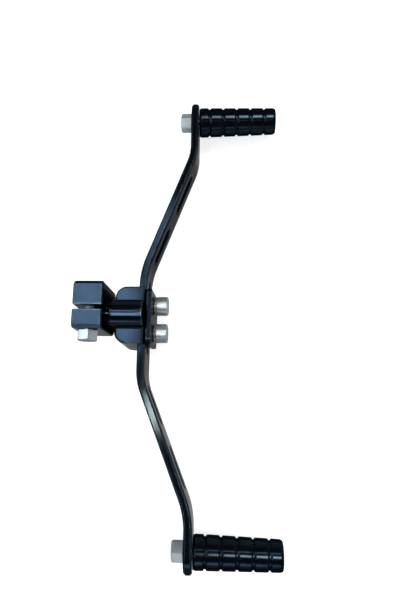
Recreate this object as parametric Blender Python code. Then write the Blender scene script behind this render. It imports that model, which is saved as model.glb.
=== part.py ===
# Motorcycle gear shift lever: a double ended lever with a peg at each end.
# X runs outward along the shift shaft, Y along the lever, Z towards the clamp's ears.
import math

import bmesh
import bpy
from mathutils import Vector

MM = 0.001
GAP = 0.3  # between pieces that touch

# Clamp
CLAMP_LENGTH = 19.9
CLAMP_DRAFT = 1.1  # how much shorter the ears' front is
CLAMP_TOP_Y = 16.7
CLAMP_LOW_Y = -13.3
CLAMP_FRONT_Z = 22.5
CLAMP_BACK_Z = -15.6
CLAMP_BACK_R = 4.5
EAR_CHAMFER = 2.2
SLIT_WIDTH = 3.0
SLIT_PAST = 1.1  # how far the slit runs on past the clamp
BORE_ROOT_R = 7.0
BORE_TIP_R = 6.3
BORE_DEPTH = 19.0
BORE_MOUTH_R = 7.9
SERRATIONS = 24
RIM_CHAMFER = 0.7

# Neck and block
NECK_R = 9.0
NECK_SEAT = 2.9  # how deep the neck starts inside the clamp
NECK_END_X = 41.5
BLOCK_LEFT_X = 22.0
BLOCK_RIGHT_X = 41.0
BLOCK_HALF_Y = 19.0
BLOCK_FRONT_Z = -3.0
BLOCK_BACK_Z = -40.0
BLOCK_CORNER_R = 7.5
BLOCK_CHAMFER = 0.8

# Arm
ARM_THICK = 5.4
ARM_HALF_WIDTH = 13.4
ARM_Z = -22.2
ARM_HUB_X = 39.3
TOE_END_X = 72.2
HEEL_END_X = 71.9
ARM_CHAMFER = 1.2
BEND_RADII = (50.0, 38.0, 55.0, 38.0)  # from the heel end to the toe end
TOE_BEND_IN_Y = 31.0
TOE_BEND_OUT_Y = 117.9
TOE_PEG_Y = 148.8
HEEL_BEND_IN_Y = -42.3
HEEL_BEND_OUT_Y = -122.8
HEEL_PEG_Y = -145.9
SLOT_WIDTH = 11.0
SLOT_CHAMFER = 0.5
SLOT_SPANS_Y = (
    (78.0, 106.2),
    (40.0, 66.2),
    (-45.6, -70.8),
    (-84.0, -110.0),
)
HUB_SLOT_DIAMETER = 8.6
HUB_SLOTS_Y = (22.4, -19.6)

# Cover plate
PLATE_THICK = 3.6
PLATE_HALF_Y = 18.2
PLATE_FRONT_Z = -4.0
PLATE_BACK_Z = -40.0
PLATE_CORNER_R = 3.0
PLATE_CHAMFER = 0.5

# Mounting screws
MOUNT_PITCH = 19.0
SCREW_R = 4.0
SCREW_CLEARANCE_R = 4.5
TAPPED_HOLE_R = 4.3
TAPPED_HOLE_END_X = 25.0
SCREW_LENGTH = 20.0
SCREW_HEAD_R = 6.5
SCREW_HEAD_HEIGHT = 7.6
SOCKET_FLATS = 6.0
SOCKET_DEPTH = 4.4
WASHER_R = 6.2
WASHER_THICK = 1.3
WASHER_SPLIT = 0.8

# Hex bolts
BOLT_FLATS = 12.0
PEG_BOLT_HEAD = 7.6
PEG_BOLT_LENGTH = 26.0
PEG_HOLE_DEPTH = 24.0
TOE_BOLT_TURN = 30.0
HEEL_BOLT_TURN = 30.0
PINCH_X = 9.0
PINCH_Z = 14.2
PINCH_HEAD = 6.6
PINCH_LENGTH = 24.0
PINCH_TURN = 46.0
PINCH_HOLE_TOP_Y = 14.6

# Pegs
PEG_LENGTH = 55.0
PEG_ROOT_R = 10.3
PEG_TIP_R = 9.1
PEG_BARREL = 0.28
FIRST_GROOVE = 7.3
LAST_LAND = 8.3  # from the last groove to the tip
GROOVES = 5
GROOVE_PITCH = (PEG_LENGTH - FIRST_GROOVE - LAST_LAND) / (GROOVES - 1)
GROOVE_HALF_WIDTH = 0.65
GROOVE_DEPTH = 0.65
PEG_EDGE_R = 1.3


def clear_scene():
    for obj in list(bpy.data.objects):
        bpy.data.objects.remove(obj, do_unlink=True)


def material(name, colour, metallic, roughness):
    made = bpy.data.materials.new(name)
    made.use_nodes = True
    shader = made.node_tree.nodes["Principled BSDF"]
    shader.inputs["Base Color"].default_value = (*colour, 1.0)
    shader.inputs["Metallic"].default_value = metallic
    shader.inputs["Roughness"].default_value = roughness
    return made


def add_object(name, bm):
    bmesh.ops.recalc_face_normals(bm, faces=bm.faces)
    mesh = bpy.data.meshes.new(name)
    bm.to_mesh(mesh)
    bm.free()
    obj = bpy.data.objects.new(name, mesh)
    bpy.context.scene.collection.objects.link(obj)
    return obj


def loft(rings):
    """A closed solid through rings of the same number of points, in millimetres."""
    bm = bmesh.new()
    made = [[bm.verts.new(Vector(p) * MM) for p in ring] for ring in rings]
    count = len(made[0])
    for first, second in zip(made, made[1:]):
        for i in range(count):
            j = (i + 1) % count
            bm.faces.new((first[i], first[j], second[j], second[i]))
    bm.faces.new(made[0])
    bm.faces.new(list(reversed(made[-1])))
    bmesh.ops.remove_doubles(bm, verts=bm.verts, dist=1e-7)
    bmesh.ops.dissolve_degenerate(bm, edges=bm.edges, dist=1e-8)
    return bm


def circle(radius, count, turn=0.0):
    step = 2 * math.pi / count
    start = math.radians(turn)
    return [(radius * math.cos(start + i * step), radius * math.sin(start + i * step)) for i in range(count)]


def lathe_x(profile, count):
    """Rings of (x, radius) about the X axis."""
    return loft([[(x, y, z) for y, z in circle(radius, count)] for x, radius in profile])


def hexagon(flats, turn):
    return circle(flats / math.sqrt(3), 6, turn)


def rounded_box(half_u, half_v, radius, segments):
    """A rounded rectangle, as points (u, v)."""
    points = []
    corners = ((1, 1, 0), (-1, 1, 90), (-1, -1, 180), (1, -1, 270))
    for side_u, side_v, start in corners:
        centre_u = side_u * (half_u - radius)
        centre_v = side_v * (half_v - radius)
        for i in range(segments + 1):
            angle = math.radians(start + 90 * i / segments)
            points.append((centre_u + radius * math.cos(angle), centre_v + radius * math.sin(angle)))
    return points


def inset(points, amount):
    """The outline moved inward by amount; the points run anticlockwise."""
    made = []
    count = len(points)
    for i in range(count):
        before = Vector(points[i - 1])
        here = Vector(points[i])
        after = Vector(points[(i + 1) % count])
        first = (here - before).normalized()
        second = (after - here).normalized()
        normal = Vector((-first.y - second.y, first.x + second.x))
        normal.normalize()
        share = max(0.5, normal.dot(Vector((-first.y, first.x))))
        made.append(tuple(here + normal * (amount / share)))
    return made


def chamfered_prism(outline, place, low, high, chamfer):
    """An outline between two levels, with a chamfer round both ends. place(u, v, level) gives the point."""
    small = inset(outline, chamfer)
    levels = ((low, small), (low + chamfer, outline), (high - chamfer, outline), (high, small))
    return loft([[place(u, v, level) for u, v in ring] for level, ring in levels])


def smooth(obj, angle=30.0):
    mesh = obj.data
    mesh.shade_smooth()
    mesh.set_sharp_from_angle(angle=math.radians(angle))


def combine(target, tools, operation):
    """Runs each tool on the target and keeps the result as the target's mesh."""
    for tool in tools:
        modifier = target.modifiers.new(operation.lower(), "BOOLEAN")
        modifier.operation = operation
        modifier.solver = "EXACT"
        modifier.object = tool
    bpy.context.view_layer.update()
    graph = bpy.context.evaluated_depsgraph_get()
    result = bpy.data.meshes.new_from_object(target.evaluated_get(graph))
    target.modifiers.clear()
    target.data = result
    for tool in tools:
        bpy.data.objects.remove(tool, do_unlink=True)


def finish(obj, surface):
    """Clears what the Booleans leave along their cuts and gives the piece its material."""
    bm = bmesh.new()
    bm.from_mesh(obj.data)
    bmesh.ops.remove_doubles(bm, verts=bm.verts, dist=2e-6)
    bmesh.ops.dissolve_degenerate(bm, edges=bm.edges, dist=1e-7)
    bm.to_mesh(obj.data)
    bm.free()
    obj.data.materials.clear()
    obj.data.materials.append(surface)
    smooth(obj)
    return obj


# Hub body


def clamp_outline():
    """The clamp's side view, (y, z), anticlockwise from the lower ear's front corner."""
    edge = EAR_CHAMFER
    points = [(CLAMP_LOW_Y + edge, CLAMP_FRONT_Z), (CLAMP_LOW_Y, CLAMP_FRONT_Z - edge)]
    radius = CLAMP_BACK_R
    for y, start in ((CLAMP_LOW_Y + radius, 180), (CLAMP_TOP_Y - radius, 270)):
        for i in range(7):
            angle = math.radians(start + 15 * i)
            points.append((y + radius * math.cos(angle), CLAMP_BACK_Z + radius + radius * math.sin(angle)))
    points.append((CLAMP_TOP_Y, CLAMP_FRONT_Z - edge))
    points.append((CLAMP_TOP_Y - edge, CLAMP_FRONT_Z))
    return points


def block_outline():
    """The block seen from the front, (x, y), anticlockwise."""
    left = BLOCK_LEFT_X
    radius = BLOCK_CORNER_R
    points = [(BLOCK_RIGHT_X, -BLOCK_HALF_Y), (BLOCK_RIGHT_X, BLOCK_HALF_Y)]
    for side in (1, -1):
        for i in range(7):
            angle = math.radians(90 + 15 * i) if side == 1 else math.radians(180 + 15 * i)
            x = left + radius + radius * math.cos(angle)
            y = side * (BLOCK_HALF_Y - radius) + radius * math.sin(angle)
            points.append((x, y))
    return points


def bore_outline():
    count = 2 * SERRATIONS
    points = []
    for i in range(count):
        radius = BORE_ROOT_R if i % 2 else BORE_TIP_R
        angle = 2 * math.pi * i / count
        points.append((radius * math.cos(angle), radius * math.sin(angle)))
    return points


def make_hub():
    def on_x(u, v, level):
        return (level, u, v)

    def on_z(u, v, level):
        return (u, v, level)

    hub = add_object(
        "hub_body",
        chamfered_prism(clamp_outline(), on_x, 0.0, CLAMP_LENGTH, RIM_CHAMFER),
    )
    for vertex in hub.data.vertices:
        if vertex.co.x > CLAMP_LENGTH * MM / 2:
            share = (vertex.co.z / MM - CLAMP_BACK_Z) / (CLAMP_FRONT_Z - CLAMP_BACK_Z)
            vertex.co.x -= CLAMP_DRAFT * share * MM
    neck = add_object(
        "neck",
        lathe_x(
            (
                (CLAMP_LENGTH - NECK_SEAT, NECK_R),
                (NECK_END_X - 0.6, NECK_R),
                (NECK_END_X, NECK_R - 0.6),
            ),
            48,
        ),
    )
    block = add_object(
        "block",
        chamfered_prism(block_outline(), on_z, BLOCK_BACK_Z, BLOCK_FRONT_Z, BLOCK_CHAMFER),
    )
    combine(block, [neck], "UNION")
    combine(hub, [block], "UNION")

    half = SLIT_WIDTH / 2
    slit_box = [(-half, 0.0), (half, 0.0), (half, CLAMP_FRONT_Z + 2), (-half, CLAMP_FRONT_Z + 2)]
    slit_end_x = CLAMP_LENGTH + SLIT_PAST
    slit = add_object("slit", loft([[(x, y, z) for y, z in slit_box] for x in (-2.0, slit_end_x)]))
    bore_ring = bore_outline()
    bore = add_object("bore", loft([[(x, y, z) for y, z in bore_ring] for x in (-2.0, BORE_DEPTH)]))
    mouth_depth = BORE_MOUTH_R - BORE_TIP_R
    mouth = add_object(
        "mouth",
        lathe_x(((-1.0, BORE_MOUTH_R + 1.0), (mouth_depth, BORE_TIP_R)), 48),
    )
    pinch_ring = circle(TAPPED_HOLE_R, 24)
    pinch_hole = add_object(
        "pinch_hole",
        loft(
            [
                [(PINCH_X + u, y, PINCH_Z + v) for u, v in pinch_ring]
                for y in (CLAMP_LOW_Y - 2, PINCH_HOLE_TOP_Y)
            ]
        ),
    )
    channel_half = ARM_HALF_WIDTH + GAP
    floor_x = ARM_HUB_X - ARM_THICK / 2 - GAP
    channel_box = [
        (floor_x, ARM_Z - channel_half),
        (BLOCK_RIGHT_X + 3, ARM_Z - channel_half),
        (BLOCK_RIGHT_X + 3, ARM_Z + channel_half),
        (floor_x, ARM_Z + channel_half),
    ]
    reach = BLOCK_HALF_Y + 3
    channel = add_object(
        "channel",
        loft([[(x, y, z) for x, z in channel_box] for y in (-reach, reach)]),
    )
    holes = []
    for side in (1, -1):
        ring = circle(TAPPED_HOLE_R, 24)
        holes.append(
            add_object(
                f"tapped_{side}",
                loft(
                    [
                        [(x, side * MOUNT_PITCH / 2 + u, ARM_Z + v) for u, v in ring]
                        for x in (TAPPED_HOLE_END_X, BLOCK_RIGHT_X + 2)
                    ]
                ),
            )
        )
    combine(hub, [slit, bore, mouth, pinch_hole, channel, *holes], "DIFFERENCE")
    return hub


# Lever arm


def arm_path():
    """Stations along the arm's middle, from the heel end to the toe end, as (point, direction)."""
    corners = (
        Vector((HEEL_END_X, HEEL_PEG_Y - ARM_HALF_WIDTH)),
        Vector((HEEL_END_X, HEEL_BEND_OUT_Y)),
        Vector((ARM_HUB_X, HEEL_BEND_IN_Y)),
        Vector((ARM_HUB_X, TOE_BEND_IN_Y)),
        Vector((TOE_END_X, TOE_BEND_OUT_Y)),
        Vector((TOE_END_X, TOE_PEG_Y + ARM_HALF_WIDTH)),
    )
    stations = []
    eye = [ARM_HALF_WIDTH * (1 - math.cos(math.radians(a))) for a in range(0, 91, 9)]
    eye.insert(1, ARM_CHAMFER)
    eye = sorted(set(round(e, 5) for e in eye))
    for step in eye:
        stations.append((corners[0] + Vector((0, step)), Vector((0, 1))))
    for i in range(1, 5):
        into = (corners[i] - corners[i - 1]).normalized()
        out = (corners[i + 1] - corners[i]).normalized()
        turn = math.acos(max(-1.0, min(1.0, into.dot(out))))
        radius = BEND_RADII[i - 1]
        tangent = radius * math.tan(turn / 2)
        side = 1 if into.x * out.y - into.y * out.x > 0 else -1
        start = corners[i] - into * tangent
        centre = start + Vector((-into.y, into.x)) * (side * radius)
        steps = 7
        for k in range(steps + 1):
            angle = side * turn * k / steps
            cos_a = math.cos(angle)
            sin_a = math.sin(angle)
            arm = start - centre
            point = centre + Vector((arm.x * cos_a - arm.y * sin_a, arm.x * sin_a + arm.y * cos_a))
            along = Vector((into.x * cos_a - into.y * sin_a, into.x * sin_a + into.y * cos_a))
            stations.append((point, along))
    for step in reversed(eye):
        stations.append((corners[5] - Vector((0, step)), Vector((0, 1))))
    return stations


def half_width(y, radius):
    """How wide the arm is there: a full round at each end."""
    past = max(y - TOE_PEG_Y, HEEL_PEG_Y - y, 0.0)
    return math.sqrt(max(radius**2 - past**2, 0.0))


def arm_section(point, along):
    normal = Vector((along.y, -along.x))
    outer = half_width(point.y, ARM_HALF_WIDTH)
    inner = half_width(point.y, ARM_HALF_WIDTH - ARM_CHAMFER)
    thick = ARM_THICK / 2
    ends_here = inner < 1e-6
    face = thick - ARM_CHAMFER if ends_here and outer < 1e-3 else thick
    section = (
        (-face, -inner),
        (-face, inner),
        (ARM_CHAMFER - thick, outer),
        (thick - ARM_CHAMFER, outer),
        (face, inner),
        (face, -inner),
        (thick - ARM_CHAMFER, -outer),
        (ARM_CHAMFER - thick, -outer),
    )
    return [(point.x + normal.x * n, point.y + normal.y * n, ARM_Z + z) for n, z in section]


def arm_middle_at(y):
    """Where the arm's middle is at this Y, and its direction."""
    stations = arm_path()
    for (first, _), (second, _) in zip(stations, stations[1:]):
        if first.y <= y <= second.y and second.y > first.y:
            share = (y - first.y) / (second.y - first.y)
            return first.lerp(second, share), (second - first).normalized()
    raise ValueError(y)


def slot_cutter(name, y_from, y_to, width):
    """A window through the arm, square to it, with its edges broken."""
    start, _ = arm_middle_at(min(y_from, y_to))
    end, _ = arm_middle_at(max(y_from, y_to))
    along = (end - start).normalized()
    normal = Vector((along.y, -along.x))
    middle = (start + end) / 2
    half_length = (end - start).length / 2
    thick = ARM_THICK / 2
    rings = []
    for level, more in (
        (-thick - 1.0, SLOT_CHAMFER + 1.0),
        (SLOT_CHAMFER - thick, 0.0),
        (thick - SLOT_CHAMFER, 0.0),
        (thick + 1.0, SLOT_CHAMFER + 1.0),
    ):
        radius = width / 2 + more
        outline = rounded_box(half_length + more, radius, radius - 1e-4, 8)
        rings.append(
            [
                (
                    middle.x + along.x * u + normal.x * level,
                    middle.y + along.y * u + normal.y * level,
                    ARM_Z + v,
                )
                for u, v in outline
            ]
        )
    return add_object(name, loft(rings))


def make_arm():
    rings = [arm_section(point, along) for point, along in arm_path()]
    arm = add_object("lever_arm", loft(rings))
    cutters = []
    for i, (y_from, y_to) in enumerate(SLOT_SPANS_Y):
        cutters.append(slot_cutter(f"slot_{i}", y_from, y_to, SLOT_WIDTH))
    holes = [(ARM_HUB_X, y, HUB_SLOT_DIAMETER / 2) for y in HUB_SLOTS_Y]
    holes += [(ARM_HUB_X, side * MOUNT_PITCH / 2, SCREW_CLEARANCE_R) for side in (1, -1)]
    holes += [(TOE_END_X, TOE_PEG_Y, TAPPED_HOLE_R), (HEEL_END_X, HEEL_PEG_Y, TAPPED_HOLE_R)]
    for i, (x, y, radius) in enumerate(holes):
        ring = circle(radius, 32)
        reach = ARM_THICK / 2 + 2
        cutters.append(
            add_object(
                f"hole_{i}",
                loft([[(x + side * reach, y + u, ARM_Z + v) for u, v in ring] for side in (-1, 1)]),
            )
        )
    combine(arm, cutters, "DIFFERENCE")
    return arm


# Cover plate and its screws


def plate_left():
    return ARM_HUB_X + ARM_THICK / 2 + GAP


def plate_right():
    return plate_left() + PLATE_THICK


def make_plate():
    middle_z = (PLATE_FRONT_Z + PLATE_BACK_Z) / 2
    half_z = (PLATE_FRONT_Z - PLATE_BACK_Z) / 2
    outline = rounded_box(PLATE_HALF_Y, half_z, PLATE_CORNER_R, 6)

    def place(u, v, level):
        return (level, u, middle_z + v)

    plate = add_object(
        "cover_plate",
        chamfered_prism(outline, place, plate_left(), plate_right(), PLATE_CHAMFER),
    )
    holes = []
    for side in (1, -1):
        ring = circle(SCREW_CLEARANCE_R, 32)
        holes.append(
            add_object(
                f"plate_hole_{side}",
                loft(
                    [
                        [(x, side * MOUNT_PITCH / 2 + u, ARM_Z + v) for u, v in ring]
                        for x in (plate_left() - 2, plate_right() + 2)
                    ]
                ),
            )
        )
    combine(plate, holes, "DIFFERENCE")
    return plate


def shift(obj, offset):
    for vertex in obj.data.vertices:
        vertex.co += Vector(offset) * MM


def make_washer(name, y):
    """A spring washer, split at one place."""
    start = plate_right() + GAP
    count = 30
    half_split = math.degrees(WASHER_SPLIT / (WASHER_R + SCREW_CLEARANCE_R))
    bm = bmesh.new()
    sections = []
    for i in range(count + 1):
        angle = math.radians(90 + half_split + (360 - 2 * half_split) * i / count)
        section = []
        for x, radius in (
            (0.0, SCREW_CLEARANCE_R),
            (0.0, WASHER_R - 0.25),
            (0.25, WASHER_R),
            (WASHER_THICK - 0.25, WASHER_R),
            (WASHER_THICK, WASHER_R - 0.25),
            (WASHER_THICK, SCREW_CLEARANCE_R),
        ):
            point = Vector((start + x, y + radius * math.cos(angle), ARM_Z + radius * math.sin(angle)))
            section.append(bm.verts.new(point * MM))
        sections.append(section)
    for first, second in zip(sections, sections[1:]):
        for i in range(6):
            j = (i + 1) % 6
            bm.faces.new((first[i], first[j], second[j], second[i]))
    bm.faces.new(sections[0])
    bm.faces.new(list(reversed(sections[-1])))
    return add_object(name, bm)


def make_mount_screw(name, y):
    seat = plate_right() + WASHER_THICK + 2 * GAP
    top = seat + SCREW_HEAD_HEIGHT
    screw = add_object(
        name,
        lathe_x(
            (
                (seat - SCREW_LENGTH, SCREW_R - 0.8),
                (seat - SCREW_LENGTH + 0.8, SCREW_R),
                (seat, SCREW_R),
                (seat, SCREW_HEAD_R),
                (top - 0.8, SCREW_HEAD_R),
                (top - 0.25, SCREW_HEAD_R - 0.25),
                (top, SCREW_HEAD_R - 0.9),
            ),
            40,
        ),
    )
    socket = add_object(
        "socket",
        loft(
            [
                [(x, u, v) for u, v in hexagon(flats, 0)]
                for x, flats in (
                    (top - SOCKET_DEPTH, SOCKET_FLATS),
                    (top - 0.4, SOCKET_FLATS),
                    (top + 0.6, SOCKET_FLATS + 2.0),
                )
            ]
        ),
    )
    combine(screw, [socket], "DIFFERENCE")
    shift(screw, (0, y, ARM_Z))
    return screw


# Hex bolts


def make_hex_bolt(name, head, length, turn):
    """A hex bolt along +X with the underside of its head at the origin and the head on the -X side."""
    corner = BOLT_FLATS / math.sqrt(3)
    blank = add_object(name, loft([[(x, u, v) for u, v in hexagon(BOLT_FLATS, turn)] for x in (-head, 0.0)]))
    turned = add_object(
        "turned",
        lathe_x(
            (
                (-head, BOLT_FLATS / 2 - 0.4),
                (-head + (corner - BOLT_FLATS / 2 + 0.6) * 0.58, corner + 0.2),
                (-0.25, corner + 0.2),
                (0.4, corner - 0.45),
            ),
            48,
        ),
    )
    combine(blank, [turned], "INTERSECT")
    shank = add_object(
        "shank",
        lathe_x(((-1.0, SCREW_R), (length - 0.8, SCREW_R), (length, SCREW_R - 0.8)), 32),
    )
    combine(blank, [shank], "UNION")
    return blank


def place_bolt(obj, matrix_rows, offset):
    for vertex in obj.data.vertices:
        x, y, z = vertex.co
        turned = [row[0] * x + row[1] * y + row[2] * z for row in matrix_rows]
        vertex.co = Vector(turned) + Vector(offset) * MM


def make_pinch_bolt():
    bolt = make_hex_bolt("pinch_bolt", PINCH_HEAD, PINCH_LENGTH, PINCH_TURN)
    # its axis, +X as made, turns to +Y
    place_bolt(
        bolt,
        ((0, -1, 0), (1, 0, 0), (0, 0, 1)),
        (PINCH_X, CLAMP_LOW_Y - GAP, PINCH_Z),
    )
    return bolt


def make_peg_bolt(name, x, y, turn):
    bolt = make_hex_bolt(name, PEG_BOLT_HEAD, PEG_BOLT_LENGTH, turn)
    shift(bolt, (x - ARM_THICK / 2 - GAP, y, ARM_Z))
    return bolt


# Pegs


def peg_radius(x):
    return PEG_ROOT_R + (PEG_TIP_R - PEG_ROOT_R) * x / PEG_LENGTH


def peg_profile():
    grooves = [FIRST_GROOVE + i * GROOVE_PITCH for i in range(GROOVES)]
    bounds = [0.0, *grooves, PEG_LENGTH]
    profile = [(0.0, peg_radius(0) - 0.6), (0.5, peg_radius(0) - 0.1)]
    for i, (low, high) in enumerate(zip(bounds, bounds[1:])):
        start = low + GROOVE_HALF_WIDTH if i else 1.2
        stop = high - GROOVE_HALF_WIDTH if i < GROOVES else PEG_LENGTH - PEG_EDGE_R
        for share in (0.0, 0.25, 0.5, 0.75, 1.0):
            x = start + (stop - start) * share
            bulge = PEG_BARREL * (1 - (2 * share - 1) ** 2)
            profile.append((x, peg_radius(x) + bulge))
        if i < GROOVES:
            profile.append((high - 0.3, peg_radius(high) - GROOVE_DEPTH))
            profile.append((high + 0.3, peg_radius(high) - GROOVE_DEPTH))
    edge = peg_radius(PEG_LENGTH - PEG_EDGE_R)
    for angle in (25, 50, 72, 90):
        turn = math.radians(angle)
        x = PEG_LENGTH - PEG_EDGE_R + PEG_EDGE_R * math.sin(turn)
        profile.append((x, edge - PEG_EDGE_R * (1 - math.cos(turn))))
    return profile


def make_peg(name, x, y):
    peg = add_object(name, lathe_x(peg_profile(), 36))
    hole = add_object("peg_hole", lathe_x(((-1.0, TAPPED_HOLE_R), (PEG_HOLE_DEPTH, TAPPED_HOLE_R)), 32))
    combine(peg, [hole], "DIFFERENCE")
    shift(peg, (x + ARM_THICK / 2 + GAP, y, ARM_Z))
    return peg


def main():
    clear_scene()
    black = material("black anodised aluminium", (0.012, 0.014, 0.018), 0.85, 0.3)
    gloss = material("glossy black peg", (0.008, 0.009, 0.012), 0.6, 0.18)
    zinc = material("zinc plated steel", (0.72, 0.75, 0.74), 1.0, 0.3)
    finish(make_hub(), black)
    finish(make_arm(), black)
    finish(make_plate(), black)
    for name, y in (("upper", MOUNT_PITCH / 2), ("lower", -MOUNT_PITCH / 2)):
        finish(make_washer(f"{name}_spring_washer", y), zinc)
        finish(make_mount_screw(f"{name}_mount_screw", y), zinc)
    for name, x, y, turn in (
        ("toe", TOE_END_X, TOE_PEG_Y, TOE_BOLT_TURN),
        ("heel", HEEL_END_X, HEEL_PEG_Y, HEEL_BOLT_TURN),
    ):
        finish(make_peg(f"{name}_peg", x, y), gloss)
        finish(make_peg_bolt(f"{name}_peg_bolt", x, y, turn), zinc)
    finish(make_pinch_bolt(), zinc)


main()
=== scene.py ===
import math

import bmesh
import bpy
from bpy.props import FloatProperty, FloatVectorProperty, IntProperty, PointerProperty
from bpy.types import Operator, Panel, PropertyGroup
from mathutils import Euler, Matrix, Vector


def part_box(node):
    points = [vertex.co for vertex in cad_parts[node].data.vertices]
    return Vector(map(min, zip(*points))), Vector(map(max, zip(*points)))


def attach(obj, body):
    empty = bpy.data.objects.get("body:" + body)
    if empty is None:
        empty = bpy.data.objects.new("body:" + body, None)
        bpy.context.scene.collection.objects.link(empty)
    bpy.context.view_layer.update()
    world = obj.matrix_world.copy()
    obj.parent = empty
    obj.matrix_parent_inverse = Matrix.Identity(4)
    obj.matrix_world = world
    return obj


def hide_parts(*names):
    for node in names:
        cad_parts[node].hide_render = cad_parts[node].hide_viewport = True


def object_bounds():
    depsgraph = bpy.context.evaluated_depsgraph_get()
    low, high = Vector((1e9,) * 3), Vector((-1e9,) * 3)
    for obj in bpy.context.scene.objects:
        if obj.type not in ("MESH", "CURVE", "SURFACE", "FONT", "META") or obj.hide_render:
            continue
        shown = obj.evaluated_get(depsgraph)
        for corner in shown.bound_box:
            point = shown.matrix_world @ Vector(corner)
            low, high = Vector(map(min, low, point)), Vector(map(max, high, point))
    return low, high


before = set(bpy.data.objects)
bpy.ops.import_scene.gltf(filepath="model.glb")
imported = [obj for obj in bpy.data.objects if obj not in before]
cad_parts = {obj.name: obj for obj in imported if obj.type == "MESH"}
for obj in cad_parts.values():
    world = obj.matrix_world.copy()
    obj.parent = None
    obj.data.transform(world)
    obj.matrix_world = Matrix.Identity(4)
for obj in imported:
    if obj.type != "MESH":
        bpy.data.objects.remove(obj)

bl_info = {
    "name": "Heel and toe gear shift lever",
    "version": (1, 0, 0),
    "blender": (4, 5, 0),
    "location": "3D View > Sidebar > Gear lever",
    "description": "Builds the finished pieces of a double ended gear shift lever",
    "category": "Object",
}

CAD_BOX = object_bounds()
MM = 0.001
BODY = "root"

# Places that several pieces share, in millimetres, as in the solids
ARM_Z = -22.2
ARM_HALF_WIDTH = 13.4
ARM_THICK = 5.4
ARM_HUB_X = 39.3
TOE_END_X = 72.2
HEEL_END_X = 71.9
TOE_BEND_IN_Y = 31.0
TOE_BEND_OUT_Y = 117.9
TOE_PEG_Y = 148.8
HEEL_BEND_IN_Y = -42.3
HEEL_BEND_OUT_Y = -122.8
HEEL_PEG_Y = -145.9
BEND_RADII = (50.0, 38.0, 55.0, 38.0)
SLOT_SPANS_Y = ((78.0, 106.2), (40.0, 66.2), (-45.6, -70.8), (-84.0, -110.0))
HUB_SLOTS_Y = (22.4, -19.6)
HUB_SLOT_R = 4.3
MOUNT_YS = (9.5, -9.5)
GAP = 0.3
TAPPED_HOLE_R = 4.3
SCREW_CLEARANCE_R = 4.5
PLATE_LEFT = ARM_HUB_X + ARM_THICK / 2 + GAP


# Colour and node helpers


def linear(hex_code):
    """An sRGB hex colour as the linear values that a shader takes."""
    made = []
    for i in (0, 2, 4):
        value = int(hex_code[i + 1 : i + 3], 16) / 255.0
        made.append(value / 12.92 if value <= 0.04045 else ((value + 0.055) / 1.055) ** 2.4)
    return (*made, 1.0)


def add_node(tree, kind, settings=None, values=None, links=None):
    """One node, with its settings, its socket values and what feeds its sockets."""
    made = tree.nodes.new(kind)
    for key, value in (settings or {}).items():
        setattr(made, key, value)
    for key, value in (values or {}).items():
        made.inputs[key].default_value = value
    for key, source in (links or {}).items():
        tree.links.new(source, made.inputs[key])
    return made


def new_material(name):
    made = bpy.data.materials.new(name)
    made.use_nodes = True
    made.node_tree.nodes.clear()
    return made, made.node_tree


# Sizes and colours that a user would change


def panel_length(name, description, default, low, high):
    """A length for the panel, given in millimetres."""
    return FloatProperty(
        name=name,
        description=description,
        default=default * MM,
        min=low * MM,
        max=high * MM,
        unit="LENGTH",
    )


def panel_colour(name, description, hex_code):
    """A colour for the panel."""
    return FloatVectorProperty(
        name=name,
        description=description,
        subtype="COLOR",
        size=4,
        min=0.0,
        max=1.0,
        default=linear(hex_code),
    )


class LeverSizes(PropertyGroup):
    arm_chamfer: panel_length("Arm chamfer", "Width of the arm's broken edges", 1.2, 0.2, 1.5)
    edge_radius: panel_length("Edge radius", "Rounding left by the blasting", 0.22, 0.05, 0.4)
    slot_width: panel_length("Slot width", "Width of the arm's lightening slots", 11.0, 6.0, 14.0)
    groove_half_width: panel_length(
        "Peg groove half width", "Half the width of the grooves in the pegs", 0.68, 0.3, 1.5
    )
    groove_depth: panel_length(
        "Peg groove depth", "Depth of the turned grooves in the pegs", 0.65, 0.2, 1.5
    )
    thread_pitch: panel_length("Thread pitch", "Pitch of the M8 coarse threads", 1.25, 1.0, 1.5)
    hex_flats: panel_length("Bolt head width", "Hex heads across their flats", 12.0, 10.0, 13.0)
    serrations: IntProperty(
        name="Serrations",
        description="Teeth in the bore that grip the shift shaft",
        default=24,
        min=12,
        max=48,
    )


class LeverColours(PropertyGroup):
    satin_black: panel_colour("Satin black", "Dye of the hub, the arm and the plate", "#1a222b")
    gloss_black: panel_colour("Gloss black", "Dye of the turned foot pegs", "#1a232b")
    zinc: panel_colour("Zinc plating", "Clear zinc on the screws, bolts and washers", "#b8bec1")
    floor: panel_colour("Floor", "Pale studio floor", "#c6c7c9")


# Materials

# how deep the fine relief of every finish looks
RELIEF_DEPTH = 0.02 * MM


def cloudy_tint(tree, place, size, stops, roughness=0.6):
    """Soft clouds of this size, in metres, and their colour through (share, colour) stops."""
    clouds = add_node(
        tree,
        "ShaderNodeTexNoise",
        values={"Scale": 1 / size, "Detail": 3.0, "Roughness": roughness},
        links={"Vector": place},
    ).outputs["Fac"]
    ramp = add_node(tree, "ShaderNodeValToRGB", links={"Fac": clouds})
    elements = ramp.color_ramp.elements
    while len(elements) < len(stops):
        elements.new(1.0)
    for element, (share, colour) in zip(elements, stops):
        element.position = share
        element.color = colour
    return clouds, ramp.outputs["Color"]


def dye_stops(colour, dark, pale):
    """Stops for a dye that took unevenly, from its colour times dark to its colour times pale."""
    stops = []
    for share, level in ((0.3, dark), (0.7, pale)):
        stops.append((share, (*(min(1.0, part * level) for part in colour[:3]), 1.0)))
    return stops


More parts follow.
